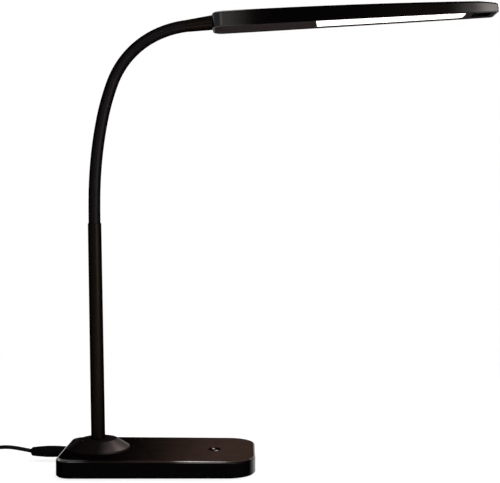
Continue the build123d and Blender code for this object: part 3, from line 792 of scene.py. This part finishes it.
class LampColours(PropertyGroup):
    shell: colour_setting("Shell", "Plastic of the foot and the head", (0.0032, 0.0028, 0.0027))
    painted_sheen: colour_setting("Painted sheen", "Painted sheen on the top towards the touch dish", (0.0195, 0.0122, 0.0098))
    underside: colour_setting("Underside", "Cover round the window", (0.0145, 0.0115, 0.0117))
    ferrule: colour_setting("Ferrule", "Cover at the foot of the stem", (0.0135, 0.0112, 0.0108))
    sleeve: colour_setting("Sleeve", "Satin paint of the upright sleeve", (0.0038, 0.0029, 0.0023))
    skin: colour_setting("Skin", "Silicone over the gooseneck", (0.0037, 0.0032, 0.0034))
    cord: colour_setting("Cord", "Jacket of the power cord", (0.0045, 0.0042, 0.0042))
    window: colour_setting("Window", "Opal light window", (0.93, 0.9, 0.87))
    floor: colour_setting("Floor", "Floor and backdrop of the stage", (0.9, 0.9, 0.9))


class LampStage(PropertyGroup):
    lens: FloatProperty(
        name="Lens", description="Focal length in millimetres", default=68.4, min=10
    )
    brightness: FloatProperty(
        name="Brightness", description="Share of its power that a lamp gives", default=1.0, min=0
    )
    ambient: FloatProperty(
        name="Ambient", description="Strength of the light from all round", default=0.1, min=0
    )


# ---------------------------------------------------------------- pieces
class LAMP_OT_foot(Operator):
    """Finish the foot's cover, plate, pad, screws and weight"""

    bl_idname = "lamp.foot"
    bl_label = "Foot"

    def execute(self, context):
        colours = context.scene.lamp_colours
        satin = foot_finish(
            "foot_satin", colours.shell, colours.painted_sheen, roughness=0.27, lustre_share=0.8
        )
        dress(nodes["foot_cover"], satin)
        plastic = moulded_finish("plate_plastic", colours.shell, roughness=0.5)
        dress(nodes["foot_plate"], plastic)
        self.pad(foam_finish("pad_foam_sheet", (0.03, 0.03, 0.031)))
        zinc = metal_finish("zinc_screws", (0.55, 0.56, 0.58), roughness=0.34)
        for name in ("foot_screws", "board_screws", "led_board_screws"):
            dress(nodes[name], zinc)
        iron = metal_finish("cast_iron", (0.16, 0.15, 0.145), roughness=0.62, tarnish=0.8)
        dress(nodes["foot_weight"], iron)
        return {"FINISHED"}

    def pad(self, foam):
        """The non-slip sheet, with die-cut corners and edges that bulge a little under the load."""
        low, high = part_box("foot_pad")
        rings = []
        for inset, share in PAD_EDGE:
            stem, touch = PAD_CORNER_STEM - inset, PAD_CORNER_TOUCH - inset
            radii = (stem, touch, touch, stem)
            near, far = (low.x + inset, low.y + inset), (high.x - inset, high.y - inset)
            z = low.z + (high.z - low.z) * share
            rings.append([Vector((x, y, z)) for x, y in rounded(near, far, radii)])
        sheet = loft("non_slip_pad", rings)
        sharpen(sheet, degrees=60)
        fit(sheet, "base", foam, ["foot_pad"])


class LAMP_OT_stem(Operator):
    """Finish the stem's ferrule, sleeve, nipple, washer and nut"""

    bl_idname = "lamp.stem"
    bl_label = "Stem"

    def execute(self, context):
        colours = context.scene.lamp_colours
        satin = ferrule_finish("ferrule_satin", colours.ferrule, roughness=0.32, lustre_share=0.85)
        dress(nodes["stem_ferrule"], satin)
        paint = painted_finish("sleeve_satin", colours.sleeve, roughness=0.3)
        dress(nodes["stem_sleeve"], paint)
        plated = metal_finish(
            "plated_steel", (0.6, 0.6, 0.6), roughness=0.3, brushing=(0.2, 0.2, 1.0)
        )
        for name in ("stem_nipple", "stem_washer", "stem_nut", "collar_nut"):
            dress(nodes[name], plated)
        return {"FINISHED"}


class LAMP_OT_neck(Operator):
    """Build the silicone skin over each hinge of the neck, and finish the conduit and collar"""

    bl_idname = "lamp.neck"
    bl_label = "Gooseneck"

    def execute(self, context):
        sizes, colours = context.scene.lamp_sizes, context.scene.lamp_colours
        outer = sizes.skin_diameter / 2
        inner = outer - sizes.skin_wall
        silicone = silicone_finish("neck_silicone", colours.skin, roughness=0.36)
        bodies = ["base"] + [f"neck_{index}" for index in range(1, 8)]
        across = Vector((0, 1, 0))
        knuckles = neck_line(steps=14)
        # the last skin closes the gap that the collar leaves
        collar_gap = 0.00019
        end, along = knuckles[-1][-1]
        knuckles[-1].append((end + along * collar_gap, along))
        for index, stations in enumerate(knuckles):
            walls = []
            for radius, line in ((outer, stations), (inner, stations[::-1])):
                for point, along in line:
                    beside = along.cross(across)
                    walls.append(ring(point, across * radius, beside * radius, count=40))
            skin = loft(f"skin_{index + 1}", walls, joined=True)
            sharpen(skin, degrees=50)
            dress(skin, silicone)
            ends = [(bodies[index], stations[1][0]), (bodies[index + 1], stations[-2][0])]
            if index == len(knuckles) - 1:
                ends.reverse()
            (first, start), (second, end) = ends
            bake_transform(skin)
            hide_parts(f"neck_skin_{index + 1}")
        conduit = metal_finish(
            "wound_steel", (0.05, 0.049, 0.048), roughness=0.4, brushing=(0.3, 0.3, 3.0)
        )
        for index in range(1, 9):
            dress(nodes[f"neck_core_{index}"], conduit)
        paint = painted_finish("collar_satin", colours.sleeve, roughness=0.32)
        dress(nodes["neck_collar"], paint)
        return {"FINISHED"}


class LAMP_OT_head(Operator):
    """Finish the head's shell, underside cover, light window, reflector and light board"""

    bl_idname = "lamp.head"
    bl_label = "Head"

    def execute(self, context):
        colours = context.scene.lamp_colours
        satin = head_finish("head_satin", colours.shell, roughness=0.22, lustre_share=0.8)
        dress(nodes["head_housing"], satin)
        matt = bezel_finish("bezel_matt", colours.underside, roughness=0.5, lustre_share=0.1)
        dress(nodes["head_bezel"], matt)
        dress(nodes["head_diffuser"], opal_finish("opal_window", colours.window, glow=0.75))
        white = moulded_finish(
            "reflector_white", (0.75, 0.75, 0.74), roughness=0.5, lustre_share=0.0
        )
        dress(nodes["head_reflector"], white)
        dress(nodes["led_board"], board_finish("light_board", (0.55, 0.56, 0.55)))
        dress(nodes["led_chips"], phosphor_finish("light_chips", (0.75, 0.6, 0.12)))
        return {"FINISHED"}


class LAMP_OT_electrics(Operator):
    """Finish the control board, its parts, the jack and the inner leads"""

    bl_idname = "lamp.electrics"
    bl_label = "Electrics"

    def execute(self, context):
        green = board_finish("control_board_green", (0.01, 0.09, 0.03))
        dress(nodes["control_board"], green)
        epoxy = moulded_finish("chip_epoxy", (0.012, 0.012, 0.013), roughness=0.55)
        dress(nodes["board_chips"], epoxy)
        copper = metal_finish("copper_foil", (0.72, 0.36, 0.2), roughness=0.36)
        dress(nodes["touch_electrode"], copper)
        brass = metal_finish("spring_brass", (0.68, 0.5, 0.22), roughness=0.32)
        dress(nodes["touch_spring"], brass)
        dress(nodes["jack_pin"], brass)
        plastic = moulded_finish("jack_plastic", (0.01, 0.01, 0.01), roughness=0.5)
        dress(nodes["power_jack"], plastic)
        lead = jacket_finish("lead_sheath", (0.02, 0.02, 0.021), roughness=0.5)
        neck_leads = [f"neck_lead_{index}" for index in range(1, 8)]
        for name in ("foot_lead", "stem_lead", "head_lead", *neck_leads):
            dress(nodes[name], lead)
        return {"FINISHED"}


class LAMP_OT_power(Operator):
    """Build the plug, the power cord with its tied coil, and finish the adapter"""

    bl_idname = "lamp.power"
    bl_label = "Plug, cord and adapter"

    def execute(self, context):
        sizes, colours = context.scene.lamp_sizes, context.scene.lamp_colours
        rubber = moulded_finish(
            "plug_rubber",
            shade(colours.cord, 0.5),
            roughness=0.45,
            lustre_share=0.4,
            grain=0.0005,
        )
        outwards = Vector((-1, 0, 0))
        low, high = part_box("plug_body")
        front = Vector((high.x, CORD_OUT[0][1], (low.z + high.z) / 2))
        plug = lathe("power_plug", front, outwards, PLUG_PROFILE)
        fit(plug, "base", rubber, ["plug_body"])
        nickel = metal_finish("barrel_nickel", (0.7, 0.68, 0.64), roughness=0.22)
        dress(nodes["plug_barrel"], nickel)
        cord = self.cord(sizes)
        jacket = jacket_finish("cord_jacket_pvc", colours.cord, roughness=0.32, lustre_share=0.5)
        stretches = ["power_cord", "power_cord_coil", "power_cord_tail"]
        fit(cord, "base", jacket, stretches)
        gland = lathe("cord_gland", Vector(CORD_TAIL[-1]), outwards, GLAND_PROFILE)
        sharpen(gland, degrees=35)
        fit(gland, "base", rubber, ["adapter_gland"])
        tie = self.tie(sizes)
        napped = strap_finish("tie_hook_and_loop", (0.012, 0.012, 0.0125))
        fit(tie, "base", napped, [])
        case = adapter_finish("adapter_plastic", shade(colours.shell, 1.6), roughness=0.4)
        dress(nodes["adapter_body"], case)
        nickel = metal_finish("prong_nickel", (0.7, 0.68, 0.64), roughness=0.24)
        dress(nodes["adapter_prongs"], nickel)
        return {"FINISHED"}

    def tie(self, sizes):
        """A strap once round the coil's bundle, closed over itself on the outside."""
        bundle = sizes.cord_diameter * 1.5
        inside = sizes.coil_radius - bundle - TIE_GAP_INSIDE
        outside = sizes.coil_radius + bundle + TIE_GAP_OUTSIDE
        steps = 6
        loop = rounded((inside, TIE_BOTTOM), (outside, TIE_TOP), [TIE_CORNER] * 4, steps)
        start = 2 * steps + 1  # the last point of the outside's lower corner
        loop = loop[start:] + loop[:start]
        flap = [(outside + out, height) for out, height in FLAP]
        centre = self.coil_centre(sizes)
        path = [centre + Vector((0, -out, height)) for out, height in loop + flap]
        return strap("coil_tie", path, Vector((1, 0, 0)), width=0.008, thickness=0.0009)

    def coil_centre(self, sizes):
        """The point of the floor that the turns go round, beside the cord's way out."""
        return Vector((COIL_X, CORD_OUT[0][1] - sizes.coil_radius - sizes.cord_diameter, 0))

    def cord(self, sizes):
        """One smooth curve: out of the plug, round the coil's turns, and on to the adapter."""
        points = [Vector(point) for point in CORD_OUT]
        outer = sizes.coil_radius + sizes.cord_diameter
        centre = self.coil_centre(sizes)
        # the curve passes inside its control points by this share of the radius
        pull_in = 1 - (math.pi / sizes.coil_steps) ** 2 / 2
        turns = COIL_PATH[-1][0]
        for step in range(1, round(turns * sizes.coil_steps)):
            turn = step / sizes.coil_steps
            before, after = next(p for p in zip(COIL_PATH, COIL_PATH[1:]) if p[1][0] >= turn)
            share = (turn - before[0]) / (after[0] - before[0])
            share = share * share * (3 - 2 * share)
            row = before[1] + (after[1] - before[1]) * share
            layer = before[2] + (after[2] - before[2]) * share
            radius = (outer - row * sizes.cord_diameter) / pull_in
            angle = math.pi / 2 + turn * 2 * math.pi
            height = (layer + 0.5) * sizes.cord_diameter
            spoke = Vector((math.cos(angle), math.sin(angle), 0)) * radius
            points.append(centre + spoke + Vector((0, 0, height)))
        points += [Vector(point) for point in CORD_TAIL]
        curve = bpy.data.curves.new("supply_cord", "CURVE")
        curve.dimensions = "3D"
        curve.bevel_depth = sizes.cord_diameter / 2
        curve.bevel_resolution = 4
        curve.resolution_u = 3
        curve.use_fill_caps = True
        spline = curve.splines.new("NURBS")
        spline.points.add(len(points) - 1)
        for control, point in zip(spline.points, points):
            control.co = (*point, 1.0)
        spline.order_u = 3
        spline.use_endpoint_u = True
        cord = bpy.data.objects.new("supply_cord", curve)
        bpy.context.scene.collection.objects.link(cord)
        return cord


# ---------------------------------------------------------------- stage
class LAMP_OT_stage(Operator):
    """Set the floor and backdrop, the studio lamps and the camera"""

    bl_idname = "lamp.stage"
    bl_label = "Stage"

    def execute(self, context):
        scene, stage = context.scene, context.scene.lamp_stage
        self.backdrop(context.scene.lamp_colours.floor)
        self.world(scene, stage.ambient)
        for name, place, aim, width, height, power in LAMPS:
            self.lamp(name, place, Vector(aim), width, height, power * stage.brightness)
        camera = bpy.data.objects.new("camera", bpy.data.cameras.new("camera"))
        camera.data.lens = stage.lens
        camera.data.sensor_width = 36
        camera.location = (0.080, -0.8739, 0.212)
        camera.rotation_euler = (math.radians(89.67), 0, math.radians(-0.208))
        scene.collection.objects.link(camera)
        scene.camera = camera
        scene.view_settings.view_transform = "Standard"
        return {"FINISHED"}

    def backdrop(self, colour):
        """A floor that curves up into a wall all round."""
        flat, bend, wall_top, steps, around = 2.2, 0.8, 3.0, 12, 96
        levels = [(0.001, 0.0)]
        for step in range(steps + 1):
            turn = math.radians(90 * step / steps)
            levels.append((flat + bend * math.sin(turn), bend * (1 - math.cos(turn))))
        levels.append((flat + bend, wall_top))
        rings = [
            ring(Vector((0, 0, height)), Vector((reach, 0, 0)), Vector((0, reach, 0)), around)
            for reach, height in levels
        ]
        sweep = loft("studio_sweep", rings)
        finish = Finish("studio_white")
        reach = finish.add("VectorMath", {"operation": "LENGTH"}, {0: finish.place()}, 1)
        share = 0.82 + reach.ramp(0.3, 0.9) * 0.18
        diffuse = finish.add("BsdfDiffuse", {}, {"Color": shade(colour, 1.0)})
        glow = finish.add("Emission", {}, {"Color": (1, 1, 1, 1), "Strength": 1.0})
        both = finish.add("MixShader", {}, {0: finish.seen() * share, 1: diffuse, 2: glow})
        dress(sweep, finish.output(both))

    def world(self, scene, ambient):
        """White where it is looked at, and softer where it lights."""
        air = Finish("studio_air", bpy.data.worlds)
        strength = air.seen() * (1 - ambient) + ambient
        light = air.add("Background", {}, {"Color": (1, 1, 1, 1), "Strength": strength})
        scene.world = air.output(light, "World")

    def lamp(self, name, place, aim, width, height, power):
        """A soft rectangular lamp that faces a point."""
        data = bpy.data.lights.new(name, "AREA")
        data.shape = "RECTANGLE"
        data.size, data.size_y, data.energy = width, height, power
        data.color = (1.0, 0.96, 0.93)
        lamp = bpy.data.objects.new(name, data)
        lamp.location = place
        lamp.rotation_euler = (aim - Vector(place)).to_track_quat("-Z", "Y").to_euler()
        lamp.visible_camera = False
        bpy.context.scene.collection.objects.link(lamp)


class VIEW3D_PT_gooseneck_lamp(Panel):
    bl_label = "Gooseneck lamp"
    bl_space_type = "VIEW_3D"
    bl_region_type = "UI"
    bl_category = "Lamp"

    def draw(self, context):
        for group in ("lamp_sizes", "lamp_colours", "lamp_stage"):
            settings = getattr(context.scene, group)
            for name in settings.__annotations__:
                self.layout.prop(settings, name)
        for operator in OPERATORS:
            self.layout.operator(operator.bl_idname)


OPERATORS = (
    LAMP_OT_foot,
    LAMP_OT_stem,
    LAMP_OT_neck,
    LAMP_OT_head,
    LAMP_OT_electrics,
    LAMP_OT_power,
    LAMP_OT_stage,
)
CLASSES = (LampSizes, LampColours, LampStage, *OPERATORS, VIEW3D_PT_gooseneck_lamp)


def register():
    for cls in CLASSES:
        bpy.utils.register_class(cls)
    bpy.types.Scene.lamp_sizes = PointerProperty(type=LampSizes)
    bpy.types.Scene.lamp_colours = PointerProperty(type=LampColours)
    bpy.types.Scene.lamp_stage = PointerProperty(type=LampStage)


def unregister():
    del bpy.types.Scene.lamp_stage
    del bpy.types.Scene.lamp_colours
    del bpy.types.Scene.lamp_sizes
    for cls in reversed(CLASSES):
        bpy.utils.unregister_class(cls)


def main():
    register()
    bpy.ops.lamp.foot()
    bpy.ops.lamp.stem()
    bpy.ops.lamp.neck()
    bpy.ops.lamp.head()
    bpy.ops.lamp.electrics()
    bpy.ops.lamp.power()
    bpy.ops.lamp.stage()


if __name__ == "__main__":
    main()
